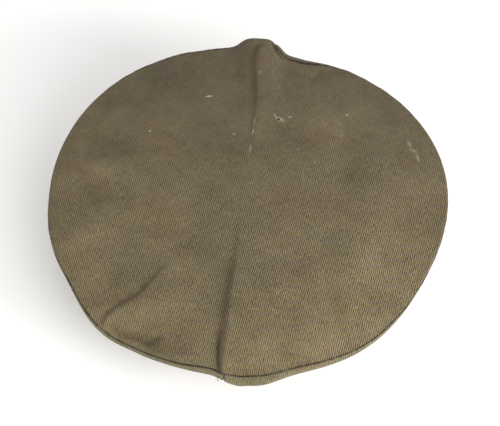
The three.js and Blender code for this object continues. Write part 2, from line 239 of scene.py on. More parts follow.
def crease_distance(path, points):
    """How far points lie from a crease's path, in millimetres."""
    spots = rounded_path(path)[1:-1] * HALF_CROWN
    return np.min([np.hypot(points[:, 0] - x, points[:, 1] - y) for x, y in spots], 0)


def crease_height(crease, x, y):
    """Height that one crease adds at x and y, in millimetres."""
    path, rise, left, right = crease
    spots = rounded_path(path) * HALF_CROWN
    lengths = np.hypot(*np.diff(spots, axis=0).T)
    walked = np.concatenate([[0], np.cumsum(lengths)])
    lead, whole = lengths[0], walked[-1] - lengths[0] - lengths[-1]
    nearest = np.full(x.shape, np.inf)
    place, side = np.zeros(x.shape), np.zeros(x.shape)
    for (x0, y0), (x1, y1), length, before in zip(spots, spots[1:], lengths, walked):
        step_x, step_y = (x1 - x0) / length, (y1 - y0) / length
        along = np.clip((x - x0) * step_x + (y - y0) * step_y, 0, length)
        off_x, off_y = x - x0 - along * step_x, y - y0 - along * step_y
        distance = np.hypot(off_x, off_y)
        closer = distance < nearest
        nearest = np.where(closer, distance, nearest)
        place = np.where(closer, before + along, place)
        side = np.where(closer, np.sign(off_x * step_y - off_y * step_x), side)
    share = (place - lead) / whole
    width = np.where(side > 0, right, left)
    fades = smooth(share, -0.07, 0.1) * (1 - smooth(share, 0.5, 1.15))
    return rise * fades * np.exp(-((nearest / width) ** 2))


def crown_level(angle, radius, share):
    x, y = radius * np.cos(angle), radius * np.sin(angle)
    base = BAND_HEIGHT + QUARTER_RISE + FRONT_LIFT / 2
    tilt = y * math.tan(math.radians(CROWN_TILT))
    droop = -CROWN_DROOP * np.cos(angle) ** 2 * share**2
    wave = EDGE_WAVE * edge_sum(angle, 4) * share**5
    dome = CROWN_DOME * (1 - share**3)
    creased = sum(crease_height(crease, x, y) for crease in CREASES)
    return base + tilt + droop + wave + dome + creased


def round_table(values_of, step=0.25):
    """The same function of the angle, read from a fine table so that its sums are made only once."""
    table_angle = np.radians(np.arange(-180, 180 + step, step))
    values = values_of(table_angle)
    return lambda angle: np.interp((angle + np.pi) % (2 * np.pi) - np.pi, table_angle, values)


def edge_level(angle):
    return crown_level(angle, edge_reach(angle) - lip_radius(angle), 1)


lip_radius, edge_reach = round_table(lip_radius), round_table(edge_reach)
seam_turn, edge_level = round_table(seam_turn), round_table(edge_level)


def roll_centre(angle):
    return edge_reach(angle) - lip_radius(angle), edge_level(angle) - lip_radius(angle)


def on_roll(angle, turn, sunk=0):
    """Radius and height of a point round the rolled edge, sunk below its surface."""
    radius, height = roll_centre(angle)
    size = lip_radius(angle) - sunk
    return radius + size * np.cos(turn), height + size * np.sin(turn)


def band_radius(angle, share):
    inner = oval_radius(angle, HEAD_WIDTH / 2, HEAD_LENGTH / 2)
    degrees = np.degrees(angle)
    soft = BAND_SOFTNESS * sum(push * bell(degrees, at, spread) for at, spread, push in BAND_DENTS)
    return inner + BAND_WALL + (BAND_FLARE + soft) * share


def rim_height(angle):
    y = band_radius(angle, 0) * np.sin(angle)
    share = np.clip((y - LIFT_START) / (HEAD_LENGTH / 2 + BAND_WALL - LIFT_START), 0, 1)
    return FRONT_LIFT * share**2


def upright(angle, radius, height):
    return np.stack([radius * np.cos(angle), radius * np.sin(angle), height], -1)


# The cap's solids are centred on its outline. The band shows by how much.
turn_round = np.radians(np.arange(0, 360, 1.0))
band_ring = upright(turn_round, band_radius(turn_round, 1), turn_round * 0)
band_low, band_high = (np.array(corner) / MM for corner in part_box("band"))
SHIFT = (band_low + band_high) / 2 - (band_ring.min(0) + band_ring.max(0)) / 2
SHIFT[2] = 0


# Mesh making

def finished_piece(name, bm, node_name=None, material=None):
    """The bmesh as an object of the cap, riding on its one body."""
    mesh = bpy.data.meshes.new(name)
    bm.to_mesh(mesh)
    bm.free()
    mesh.shade_smooth()
    piece = bpy.data.objects.new(name, mesh)
    bpy.context.scene.collection.objects.link(piece)
    mesh.materials.append(material)
    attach(piece, "root")
    if node_name:
        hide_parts(node_name)
    return piece


def move_vertices(bm, points):
    """Moves the vertices to points in millimetres, given in the order of the vertices."""
    for vert, point in zip(bm.verts, (points + SHIFT) * MM):
        vert.co = point


def spun(section, steps, closed):
    """A section of (x, z) spun round the axis. Gives the bmesh and each vertex's angle, x and z."""
    bm = bmesh.new()
    spoke = [bm.verts.new((x, 0, z)) for x, z in section]
    ends = spoke[1:] + spoke[:1] if closed else spoke[1:]
    rods = [bm.edges.new(pair) for pair in zip(spoke, ends)]
    bmesh.ops.spin(bm, geom=spoke + rods, cent=(0, 0, 0), axis=(0, 0, 1), angle=2 * math.pi,
                   steps=steps, use_merge=True)
    bmesh.ops.remove_doubles(bm, verts=bm.verts, dist=1e-4)
    spots = np.array([vert.co for vert in bm.verts])
    return bm, np.arctan2(spots[:, 1], spots[:, 0]), np.hypot(spots[:, 0], spots[:, 1]), spots[:, 2]


def flat_grid(columns, rows):
    """A grid with each vertex's column and row."""
    bm = bmesh.new()
    bmesh.ops.create_grid(bm, x_segments=columns, y_segments=rows, size=0.5)
    flat = np.array([vert.co[:2] for vert in bm.verts]) + 0.5
    return bm, np.round(flat[:, 0] * columns), np.round(flat[:, 1] * rows)


def lay_weave(bm, weave, round_trip=None):
    """Stores where each vertex lies on the flat cloth, given in millimetres, as metres.

    round_trip is the length all the way round a cloth that meets itself."""
    layer = bm.loops.layers.uv.new("weave")
    bm.verts.index_update()
    for face in bm.faces:
        spots = [weave[loop.vert.index] for loop in face.loops]
        far = max(spot[0] for spot in spots)
        for loop, (u, v) in zip(face.loops, spots):
            if round_trip and far - u > round_trip / 2:
                u += round_trip
            loop[layer].uv = (u * MM, v * MM)


def lay_dirt_and_shade(bm, dirt_and_shade):
    """Stores how much dirt and shade each vertex gathers, from 0 to 1."""
    layer = bm.verts.layers.float.new("dirt_and_shade")
    for vert, share in zip(bm.verts, dirt_and_shade):
        vert[layer] = share


def ruffle(points, length, seed):
    """Smooth noise from about -1 to 1 at points in millimetres, with waves of about that length."""
    start = Vector((seed * 13.7, seed * 7.1, seed * 3.3))
    return np.array([noise.noise(Vector(spot) + start) for spot in points / length])


def face_out(bm):
    """Turns every face of a cloth away from the middle of the cap."""
    bmesh.ops.recalc_face_normals(bm, faces=bm.faces)
    middle = Vector(tuple((SHIFT + (0, 0, BAND_HEIGHT)) * MM))
    outward = sum((face.calc_center_median() - middle).normalized().dot(face.normal) for face in bm.faces)
    if outward < 0:
        bmesh.ops.reverse_faces(bm, faces=bm.faces)


def thicken(piece, thickness):
    wall = piece.modifiers.new("cloth", "SOLIDIFY")
    wall.thickness = thickness * MM
    wall.offset = -1
    wall.use_even_offset = False


def sew(name, seams, length=STITCH_LENGTH, thickness=THREAD_RADIUS):
    """Machine stitches: one small bead of thread at each point of the seams.

    A seam is its points, the way the thread runs there and the way the cloth faces."""
    bm = bmesh.new()
    for points, ways, faces in seams:
        for point, way, face in zip((points + SHIFT) * MM, ways, faces):
            way, face = Vector(way).normalized(), Vector(face).normalized()
            side = face.cross(way).normalized()
            face = way.cross(side)
            turned = Matrix((way, side, face)).transposed().to_4x4()
            size = Matrix.Diagonal((length / 2, thickness, thickness, 1))
            bmesh.ops.create_uvsphere(bm, u_segments=6, v_segments=5, radius=MM,
                                      matrix=Matrix.Translation(point) @ turned @ size)
    return finished_piece(name, bm, material=sewing_thread)


def evenly_spaced(line, pitch):
    """Where stitches fall along a fine line of points: points, ways and shares of its length."""
    steps = np.linalg.norm(np.diff(line, axis=0), axis=1)
    walked = np.concatenate([[0], np.cumsum(steps)])
    stops = np.arange(pitch / 2, walked[-1], pitch)
    points = np.stack([np.interp(stops, walked, line[:, axis]) for axis in range(3)], -1)
    ahead = np.stack([np.interp(stops + pitch / 4, walked, line[:, axis]) for axis in range(3)], -1)
    behind = np.stack([np.interp(stops - pitch / 4, walked, line[:, axis]) for axis in range(3)], -1)
    return points, ahead - behind, stops / walked[-1]


# Materials

class Finish:
    """A material in the making, on its own principled shader."""

    def __init__(self, name, roughness, specular=0.25, sheen=0.0):
        self.material = bpy.data.materials.new(name)
        self.material.use_nodes = True
        self.tree = self.material.node_tree
        self.shader = self.tree.nodes["Principled BSDF"]
        self.shader.inputs["Roughness"].default_value = roughness
        self.shader.inputs["Specular IOR Level"].default_value = specular
        self.shader.inputs["Sheen Weight"].default_value = sheen
        self.shader.inputs["Sheen Roughness"].default_value = 0.6

    def node(self, kind, settings, sockets, output=0):
        """Any node: its settings are made first, then its sockets are filled or linked."""
        made = self.tree.nodes.new(kind)
        for key, value in settings.items():
            setattr(made, key, value)
        for key, value in sockets.items():
            if isinstance(value, Signal):
                self.tree.links.new(value.socket, made.inputs[key])
            else:
                made.inputs[key].default_value = value
        return Signal(self, made.outputs[output], made)

    def feed(self, name, value):
        self.tree.links.new(value.socket, self.shader.inputs[name])

    def place(self):
        """Where a point lies on the object."""
        return self.node("ShaderNodeTexCoord", {}, {}, "Object")

    def weave(self):
        """Where a point lies on the flat cloth."""
        return self.node("ShaderNodeUVMap", {"uv_map": "weave"}, {})

    def grain(self, spot, scale, detail=3.0, roughness=0.55, stretch=(1, 1, 1)):
        """Noise around 0.5, with this many waves to a metre."""
        spot = self.node("ShaderNodeMapping", {}, {"Vector": spot, "Scale": stretch})
        return self.node("ShaderNodeTexNoise", {},
                         {"Vector": spot, "Scale": scale, "Detail": detail, "Roughness": roughness})

    def tint(self, share, low, high, mode="MIX"):
        """The low colour, taken towards the high one by a share from 0 to 1."""
        return self.node("ShaderNodeMix", {"data_type": "RGBA", "blend_type": mode},
                         {0: share, 6: low, 7: high}, 2)

    def bump(self, height, strength, distance):
        self.feed("Normal", self.node("ShaderNodeBump", {},
                                      {"Height": height, "Strength": strength, "Distance": distance}))


class Signal:
    """A socket of a finish, so that shader maths reads as a sum."""

    def __init__(self, finish, socket, made):
        self.finish, self.socket, self.made = finish, socket, made

    def other(self, output):
        """Another output of the same node."""
        return Signal(self.finish, self.made.outputs[output], self.made)

    def maths(self, operation, *values, clamp=False):
        return self.finish.node("ShaderNodeMath", {"operation": operation, "use_clamp": clamp}, dict(enumerate(values)))

    def __add__(self, other):
        return self.maths("ADD", self, other)

    __radd__ = __add__

    def __sub__(self, other):
        return self.maths("SUBTRACT", self, other)

    def __rsub__(self, other):
        return self.maths("SUBTRACT", other, self)

    def __mul__(self, other):
        return self.maths("MULTIPLY", self, other)

    __rmul__ = __mul__

    def __pow__(self, other):
        return self.maths("POWER", self, other)

    def sine(self):
        return self.maths("SINE", self)

    def root(self):
        return self.maths("SQRT", self)

    def largest(self, other):
        return self.maths("MAXIMUM", self, other)

    def clamped(self):
        return self.maths("ADD", self, 0, clamp=True)

    def eased(self, low, high):
        """0 below low, 1 above high and smooth between them."""
        return self.finish.node("ShaderNodeMapRange", {"interpolation_type": "SMOOTHSTEP"},
                                {"Value": self, "From Min": low, "From Max": high, "To Min": 0.0, "To Max": 1.0})


def screen_colour(red, green, blue):
    """A colour as a screen shows it, from 0 to 255, as a shader takes it."""
    def linear(value):
        value /= 255
        return value / 12.92 if value <= 0.04045 else ((value + 0.055) / 1.055) ** 2.4
    return (linear(red), linear(green), linear(blue), 1)


def shade_of(colour, share):
    return tuple(min(1, share * part) for part in colour[:3]) + (1,)


WALE_PITCH = 1.43

# Wear of the crown top. Places are in shares of the half width, lengths in millimetres, the lean
# in degrees from the wearer's right, and the last number says how much of the wear's colour shows.
NIPS = (
    ((-0.257, 0.564), 2.8, 0.75, 12, 0.55),
    ((-0.532, 0.335), 1.3, 0.7, -5, 0.35),
    ((-0.103, 0.353), 1.5, 0.9, 10, 0.28),
    ((-0.125, 0.306), 1.0, 0.6, 40, 0.22),
    ((0.455, 0.536), 1.2, 0.7, 70, 0.35),
    ((0.442, 0.416), 1.0, 0.7, 20, 0.3),
    ((0.168, 0.485), 1.7, 0.7, 8, 0.36),
    ((0.092, 0.483), 2.2, 0.9, -48, 0.3),
    ((0.121, 0.466), 4.2, 2.0, -14, 0.3),
    ((0.785, 0.42), 3.6, 1.6, -64, 0.2),
    ((0.812, 0.385), 3.4, 1.5, -15, 0.22),
    ((0.835, 0.35), 3.8, 1.2, -72, 0.26),
    ((-0.009, 0.43), 4.5, 0.7, 88, 0.22),
    ((-0.009, 0.375), 2.6, 0.7, 84, 0.34),
    ((-0.012, 0.28), 4.5, 0.7, 86, 0.28),
    ((-0.011, 0.71), 1.8, 0.9, 80, 0.16),
    ((0.229, 0.306), 1.2, 0.8, 10, 0.18),
    ((0.322, 0.244), 1.4, 0.8, -30, 0.18),
    ((0.27, 0.16), 7.0, 0.8, -75, 0.1),
)
PIN_HOLE = ((0.112, 0.465), 0.9)

# Broad places painted lighter, as light falling on the crown's swells and creases, or painted darker as shade where the
# last number is below zero
PAINTED_LIGHT_AND_SHADE = (
    ((0.52, -0.48), 46, 15, 62, 0.13),
    ((0.25, -0.79), 46, 12, 14, 0.17),
    ((0.79, -0.56), 32, 9, 48, 0.14),
    ((0.66, -0.1), 34, 16, 80, 0.06),
    ((0.16, -0.46), 28, 26, 0, -0.1),
    ((0.38, 0.75), 48, 13, -25, 0.1),
    ((-0.02, 0.8), 15, 9, 90, 0.07),
    ((-0.6, -0.73), 26, 6, -35, 0.09),
    ((-0.73, 0.26), 20, 11, 20, -0.1),
    ((-0.8, -0.05), 18, 9, 15, -0.09),
    ((-0.8, 0.1), 26, 7, 14, 0.07),
    ((-0.75, -0.2), 24, 7, 35, 0.06),
    ((-0.42, -0.66), 26, 8, 20, 0.08),
    ((-0.3, -0.87), 34, 5, -8, 0.06),
    ((-0.52, 0.56), 30, 7, 52, -0.07),
)


def twill(name, base, lean, contrast=1.0, crown_wear_and_painted_light=False):
    """Worn cotton twill, whose wales lean by some degrees on the flat cloth."""
    finish = Finish(name, roughness=0.92, specular=0.2, sheen=0.1)
    weave, place = finish.weave(), finish.place()
    flat = finish.node("ShaderNodeSeparateXYZ", {}, {0: weave})
    u, v = flat, flat.other(1)

    # Wales are ridges one pitch apart. Each is a row of short floats of yarn, lying up the cloth.
    lean = math.radians(lean)
    waver = (finish.grain(weave, 70, 2.0) - 0.5) * 0.0016 + (finish.grain(weave, 420, 2.0) - 0.5) * 0.0011
    across = u * math.sin(lean) - v * math.cos(lean) + waver
    per_wale = 2 * math.pi / (WALE_PITCH * MM)
    wale = (across * per_wale).sine()
    uneven = (finish.grain(weave, 260, 2.0) - 0.5) * 9
    floats = (v * (per_wale * 0.46) + across * (per_wale * 0.5) + uneven).sine()
    yarns = finish.grain(weave, 850, 3.0, 0.65, (1.7, 0.4, 1)) - 0.5
    face = wale * (floats * 0.32 + 0.72) + yarns * 2.9

    # Slow patches of faded and darker cloth, small mottling, and clearer wales in some places
    patches = finish.grain(place, 16, 4.0, 0.62) - 0.5
    mottle = finish.grain(place, 190, 4.0, 0.7) - 0.5
    clear = (finish.grain(place, 20, 2.0) * 0.8 + 0.55) * contrast
    if crown_wear_and_painted_light:
        sides = finish.node("ShaderNodeSeparateXYZ", {}, {0: place})
        clear = clear * (1.12 - 0.72 * sides.other(1).eased(-0.04, 0.08)) * (0.84 + 0.5 * sides.eased(-0.06, 0.1))

        def spot_reach(spot, length, width, turn):
            """How far a point lies from a spot, with 1 at the end of its length and its width."""
            turn = math.radians(turn)
            off_x = sides - (spot[0] * HALF_CROWN + SHIFT[0]) * MM
            off_y = sides.other(1) - (spot[1] * HALF_CROWN + SHIFT[1]) * MM
            lengthwise = (off_x * math.cos(turn) + off_y * math.sin(turn)) * (1 / (length * MM))
            sideways = (off_y * math.cos(turn) - off_x * math.sin(turn)) * (1 / (width * MM))
            return (lengthwise * lengthwise + sideways * sideways).root()
    depth = face * 0.5 * clear + patches * 0.4 + mottle * 0.5 + 0.46
    if crown_wear_and_painted_light:
        # Broad painted light and shade on the crown top
        for spot, length, width, turn, change in PAINTED_LIGHT_AND_SHADE:
            depth = depth + (1 - spot_reach(spot, length, width, turn).eased(0.0, 1.5)) * change
    colour = finish.tint(depth.clamped(), shade_of(base, 0.27), shade_of(base, 1.72))
    if crown_wear_and_painted_light:
        # The front half is painted darker, as shade, and a little greyer in tone.
        front_grey_and_shade = sides.other(1).eased(-0.06, 0.13) * 0.85
        colour = finish.tint(front_grey_and_shade, colour, screen_colour(212, 212, 218), "MULTIPLY")
    greener = (finish.grain(place, 24, 3.0, 0.6) - 0.5) * 2.4 + 0.5
    colour = finish.tint(greener.clamped() * 0.42, colour, screen_colour(122, 128, 108), "OVERLAY")
    browner = ((finish.grain(place, 31, 3.0, 0.6, (1, 1.3, 1)) - 0.5) * 2.6).clamped()
    colour = finish.tint(browner * 0.6, colour, screen_colour(146, 122, 108), "OVERLAY")
    height = face * 0.5 + mottle * 0.8

    if crown_wear_and_painted_light:
        frayed = finish.grain(place, 900, 3.0, 0.7) - 0.5
        for spot, length, width, turn, shows in NIPS:
            faint = shows < 0.31
            reach = spot_reach(spot, length, width, turn) + frayed * (0.8 if faint else 1.6)
            bare = (1 - reach.eased(0.0 if faint else 0.45, 1.4 if faint else 1.25)) * shows
            colour = finish.tint(bare, colour, screen_colour(188, 178, 154))
            height = height - bare * 0.5
        # The pin hole is not cut: it is painted near-black, as the shade inside the cap seen through it, and the cloth
        # dips there.
        spot, size = PIN_HOLE
        hole = 1 - (spot_reach(spot, size, size, 0) + frayed * 0.3).eased(0.7, 1.2)
        colour = finish.tint(hole, colour, screen_colour(14, 12, 10))
        height = height - hole * 2

    # Dirt and painted shade, laid on the vertices, darken the cloth along seams, in stitched channels and in creases.
    dirt_and_shade = finish.node("ShaderNodeAttribute", {"attribute_name": "dirt_and_shade"}, {}, "Fac")
    colour = finish.tint((dirt_and_shade + mottle * 0.6 * dirt_and_shade).clamped(), colour, screen_colour(34, 27, 17))
    finish.feed("Base Color", colour)
    finish.bump(height, 0.6, 0.0003)
    return finish.material


def dyed_thread(name, base):
    finish = Finish(name, roughness=0.8, specular=0.3)
    twist = finish.grain(finish.place(), 2500, 2.0)
    finish.feed("Base Color", finish.tint(twist, shade_of(base, 0.6), shade_of(base, 1.4)))
    finish.bump(twist, 0.5, 0.0001)
    return finish.material


KHAKI = screen_colour(106, 94, 70)
crown_twill = twill("crown_twill", KHAKI, lean=83, crown_wear_and_painted_light=True)
quarter_twill = twill("quarter_twill", screen_colour(113, 104, 79), lean=68, contrast=0.75)
band_twill = twill("band_twill", KHAKI, lean=62, contrast=0.85)
peak_twill = twill("peak_twill", screen_colour(101, 90, 66), lean=80, contrast=0.85)
sewing_thread = dyed_thread("sewing_thread", screen_colour(96, 84, 58))


# Crown top

CROWN_STEPS = 640
CROWN_ROWS = 92
ROLL_ROWS = 10
GROOVE_ROWS = 5
LINING_ROWS = 28


def seam_shade(angle, off_seam):
    """Dirt and shade along the edge seam: deepest beside the back notch and in the front tuck."""
    degrees = np.degrees(angle)
    along = np.stack([np.cos(angle) * 140, np.sin(angle) * 140, off_seam * 0], -1)
    deepest = 0.5 * bell(degrees, 263, 8, 4) + 0.4 * bell(degrees, 81, 9, 4) - 0.15 * bell(degrees, 95, 5, 4)
    uneven = 0.8 * ruffle(along, 1.7, 31) + 0.4 * ruffle(along, 9, 32)
    width = 0.42 + 0.3 * bell(degrees, 264, 7, 4) + 0.15 * bell(degrees, 81, 9, 4)
    return np.clip(0.55 + deepest + uneven, 0.05, 1) * np.exp(-((off_seam / width) ** 2))


def pucker(angle, share_from_seam, seed):
    """Small puckers that the edge seam draws in the cloth, fading away from it."""
    spots = np.stack([np.cos(angle) * 140, np.sin(angle) * 140, share_from_seam * 8], -1)
    return (ruffle(spots, 4.2, seed) * 0.55 + ruffle(spots, 10, seed + 1)) * np.exp(-(share_from_seam / 0.6) ** 2)


def crown_points(angle, row):
    """The crown's cloth by ring: over the top, round the roll and down into the seam's groove."""
    seam = seam_turn(angle)
    lip = lip_radius(angle)
    mouth = seam + GROOVE_WIDTH / lip
    start = np.maximum(np.pi / 2, mouth + math.radians(8))
    edge_radius, edge_height = on_roll(angle, start)
    share = np.clip(row / CROWN_ROWS, 0, 1) ** 0.8
    radius = share * edge_radius
    sunk = edge_height - crown_level(angle, edge_radius, 1)
    height = crown_level(angle, radius, share) + sunk * share**8
    rolled = np.clip((row - CROWN_ROWS) / ROLL_ROWS, 0, 1)
    roll_radius, roll_height = on_roll(angle, blend(start, mouth, rolled))
    dive = np.clip((row - CROWN_ROWS - ROLL_ROWS) / GROOVE_ROWS, 0, 1) * np.pi / 2
    turn = blend(mouth, seam + 0.1 / lip, np.sin(dive))
    dive_radius, dive_height = on_roll(angle, turn, GROOVE_DEPTH * (1 - np.cos(dive)))
    in_groove = row > CROWN_ROWS + ROLL_ROWS
    radius = np.where(row <= CROWN_ROWS, radius, np.where(in_groove, dive_radius, roll_radius))
    height = np.where(row <= CROWN_ROWS, height, np.where(in_groove, dive_height, roll_height))
    return upright(angle, radius, height), share


outer_rows = CROWN_ROWS + ROLL_ROWS + GROOVE_ROWS
section = [(row, 0) for row in range(outer_rows + 1)]
section += [(outer_rows * (1 - row / LINING_ROWS), -outer_rows) for row in range(1, LINING_ROWS + 1)]
bm, angle, row, level = spun(section, CROWN_STEPS, closed=False)
underneath = level < -1
row = np.where(underneath, row / outer_rows * (CROWN_ROWS - 1), np.round(row))
points, share = crown_points(angle, row)
from_seam = np.clip((outer_rows - row) / 16, 0, 3)
points[:, 2] += 0.3 * pucker(angle, from_seam, 1)
points[:, 2] += smooth(share, 0.7, 0.97) * (1 - smooth(share, 0.97, 1)) * 0.5 * ruffle(points * (1, 1, 0), 11, 2)
points[:, 2] += (1 - share**6) * (0.5 * ruffle(points * (1, 1, 0), 30, 3) + 0.12 * ruffle(points * (1, 1, 0), 9, 4))
points[:, 2] -= underneath * CLOTH
move_vertices(bm, points)
lay_weave(bm, points[:, :2])
roll_turn = np.maximum(np.pi / 2 - seam_turn(angle), math.radians(8))
off_seam = np.clip(1 - (row - CROWN_ROWS) / ROLL_ROWS, 0, 1) * roll_turn * lip_radius(angle)
# Dirt and painted shade darken the crown along the edge seam's groove and in the sharpest creases of the top.
crease_shade_and_soil = sum(depth * np.exp(-((crease_distance(path, points) / width) ** 2)) for path, depth, width in SHADED_AND_SOILED_CREASES)
lay_dirt_and_shade(bm, np.maximum(seam_shade(angle, off_seam) * (row > CROWN_ROWS), crease_shade_and_soil * (row <= CROWN_ROWS)))
bmesh.ops.recalc_face_normals(bm, faces=bm.faces)
crown = finished_piece("crown_cloth", bm, "crown_top", crown_twill)


# Quarters

QUARTER_COLUMNS = 190
SEAM_COLUMNS = 5
QUARTER_LIP_ROWS = 17
QUARTER_WALL_ROWS = 62


def bezier(knots, share):
    """A value and its slope along a curve with four knots."""
    a, b, c, d = knots
    rest = 1 - share
    value = rest**3 * a + 3 * rest**2 * share * b + 3 * rest * share**2 * c + share**3 * d
    slope = 3 * rest**2 * (b - a) + 6 * rest * share * (c - b) + 3 * share**2 * (d - c)
    return value, slope


def quarter_points(angle, row, raised):
    """A quarter's cloth by row: up out of the groove, over the roll, then in to the band.

    raised lifts the cloth off its own face, in millimetres."""
    seam = seam_turn(angle)
    lip = lip_radius(angle)
    mouth = seam - GROOVE_WIDTH / lip
    rise = np.clip(row / GROOVE_ROWS, 0, 1) * np.pi / 2
    turn = blend(seam - 0.1 / lip, mouth, 1 - np.cos(rise))
    rise_radius, rise_height = on_roll(angle, turn, GROOVE_DEPTH * (1 - np.sin(rise)) - raised)
    finish = math.radians(SHOULDER_SLOPE - 90)
    rolled = np.clip((row - GROOVE_ROWS) / (QUARTER_LIP_ROWS - GROOVE_ROWS), 0, 1)
    roll_radius, roll_height = on_roll(angle, blend(mouth, finish, rolled), -raised)
    share = np.clip((row - QUARTER_LIP_ROWS) / QUARTER_WALL_ROWS, 0, 1)
    start_radius, start_height = on_roll(angle, finish)
    foot_radius, foot_height = band_radius(angle, 1), rim_height(angle) + BAND_HEIGHT + 0.3
    handle = np.minimum(QUARTER_BULGE, np.hypot(start_radius - foot_radius, start_height - foot_height) / 3)
    down, out = math.radians(SHOULDER_SLOPE), math.radians(FOOT_SLOPE)
    wall_radius, slope_radius = bezier((start_radius, start_radius - handle * math.cos(down),
                                        foot_radius + handle * math.cos(out), foot_radius), share)
    wall_height, slope_height = bezier((start_height, start_height - handle * math.sin(down),
                                        foot_height + handle * math.sin(out), foot_height), share)
    length = np.hypot(slope_radius, slope_height)
    degrees = np.degrees(angle)
    puckers = sum(push * bell(degrees, at + lean * share, spread) for at, spread, lean, push in QUARTER_PUCKERS)
    push = PUCKER_DEPTH * puckers * np.sin(np.pi * share) ** 2 + raised
    wall_radius = wall_radius - slope_height / length * push
    wall_height = wall_height + slope_radius / length * push
    in_groove, on_wall = row < GROOVE_ROWS, row > QUARTER_LIP_ROWS
    radius = np.where(in_groove, rise_radius, np.where(on_wall, wall_radius, roll_radius))
    height = np.where(in_groove, rise_height, np.where(on_wall, wall_height, roll_height))
    return upright(angle, radius, height), share


quarter_rows = QUARTER_LIP_ROWS + QUARTER_WALL_ROWS
for name, start in QUARTERS:
    bm, column, row = flat_grid(QUARTER_COLUMNS, quarter_rows)
    # Columns crowd at both ends, where the cloth turns in to its upright seams.
    from_end = np.minimum(column, QUARTER_COLUMNS - column)
    whole = 90 - 2 * math.degrees(SEAM_WIDTH / 110)
    inner = (column - SEAM_COLUMNS) / (QUARTER_COLUMNS - 2 * SEAM_COLUMNS)
    turned_in = np.clip(1 - from_end / SEAM_COLUMNS, 0, 1)
    at_seam = (1 - np.cos(turned_in * np.pi / 2)) * SEAM_DEPTH
    towards_end = 0.08 + (SEAM_WIDTH - 0.08) * (1 - np.sin(turned_in * np.pi / 2))
    ends = math.degrees(1 / 110) * towards_end
    degrees = np.where(column < SEAM_COLUMNS, ends, np.where(column > QUARTER_COLUMNS - SEAM_COLUMNS, 90 - ends,
                       math.degrees(SEAM_WIDTH / 110) + whole * inner))
    angle = np.radians(start + degrees)
    smooth_cloth, share = quarter_points(angle, row, 0)
    round_band = np.stack([np.cos(angle) * 110, np.sin(angle) * 110, share * 14], -1)
    gathers = ruffle(round_band, 7, start + 3) * 0.5 * share**2 * (1 - smooth(share, 0.9, 1))
    folds = ruffle(round_band * (1, 1, 1.6), 24, start + 5) * 2.0 * np.sin(np.pi * share) ** 1.5
    rumples = ruffle(smooth_cloth, 13, start + 7) * 0.8 * np.sin(np.pi * share)
    drawn = pucker(angle, np.clip(row - GROOVE_ROWS, 0, 40) / 14, start + 9) * 0.3
    off_groove = np.clip(row - GROOVE_ROWS, 0, None) * lip_radius(angle) * 0.2
    ridge = np.exp(-(((off_groove - 3.8) / 0.8) ** 2)) * bell(start + degrees, 281, 11, 4)
    drawn += 0.45 * ridge * (row > GROOVE_ROWS)
    side_seam = np.exp(-((np.minimum(degrees, 90 - degrees) / 3.2) ** 2))
    drawn += side_seam * ruffle(smooth_cloth, 5, start + 11) * 0.45 * smooth(share, 0, 0.1)
    points, share = quarter_points(angle, row, gathers + folds + rumples + drawn - at_seam)
    move_vertices(bm, points)
    middle = math.radians(start + 45)
    roll_length = np.clip(row / QUARTER_LIP_ROWS, 0, 1) * lip_radius(angle) * (seam_turn(angle) + 0.6)
    out_from_axis = np.hypot(points[:, 0], points[:, 1])
    lay_weave(bm, np.stack([(angle - middle) * out_from_axis, -roll_length - share * 62], -1))
    off_seam = np.clip(row - GROOVE_ROWS, 0, None) * lip_radius(angle) * 0.2
    # Dirt and painted shade along the edge seam and in the upright seams where the cloth turns in; painted shade in the
    # front tuck and at the foot against the band.
    dirt_and_shade = np.maximum(seam_shade(angle, off_seam), 0.5 * turned_in**0.7)
    tuck_shade = 0.42 * bell(start + degrees, 79, 9, 4) * (row < QUARTER_LIP_ROWS)
    lay_dirt_and_shade(bm, np.maximum(np.maximum(dirt_and_shade, tuck_shade), 0.5 * smooth(share, 0.97, 1)))
    face_out(bm)
    quarter = finished_piece(name + "_cloth", bm, name, quarter_twill)
    thicken(quarter, CLOTH)


# Head band

BAND_STEPS = 640
BAND_WALL_ROWS = 30
BAND_FOLD_ROWS = 6
BAND_STITCHING = (0.07, 0.93)
BACK_SEAM = 270


def band_points(angle, row, raised):
    """The band by row: down the outside, round the rim, up the inside and over the top."""
    half = BAND_WALL / 2
    down = np.clip(row / BAND_WALL_ROWS, 0, 1)
    rim_turn = np.clip((row - BAND_WALL_ROWS) / BAND_FOLD_ROWS, 0, 1) * np.pi
    up = np.clip((row - BAND_WALL_ROWS - BAND_FOLD_ROWS) / BAND_WALL_ROWS, 0, 1)
    top_turn = np.clip((row - 2 * BAND_WALL_ROWS - BAND_FOLD_ROWS) / BAND_FOLD_ROWS, 0, 1) * np.pi
    share = 1 - down + up
    inward = half * (1 - np.cos(rim_turn)) - half * (1 - np.cos(top_turn))
    rounding = (np.sin(top_turn) - np.sin(rim_turn)) * half * 0.8
    outside = np.where(inward < half, 1, -1)
    radius = band_radius(angle, share) - inward + raised * outside
    height = rim_height(angle) + half * 0.8 + share * (BAND_HEIGHT - half * 1.6) + rounding
    return upright(angle, radius, height), share


def band_relief(angle, share):
    """How far the band stands in or out: soft puffs, stitched channels and the join at the back."""
    spots = np.stack([np.cos(angle) * 90, np.sin(angle) * 90, share * 16], -1)
    raised = ruffle(spots, 15, 11) * 0.7 * np.sin(np.pi * share)
    raised += ruffle(spots, 5, 12) * 0.25
    for at in BAND_STITCHING:
        raised -= 0.4 * np.exp(-(((share - at) * BAND_HEIGHT / 0.9) ** 2))
    off_join = ((np.degrees(angle) - BACK_SEAM + 180) % 360 - 180) * math.radians(95)
    return raised - 0.9 * np.exp(-((off_join / 0.8) ** 2)) + 0.35 * np.exp(-(((off_join - 3) / 2.2) ** 2))


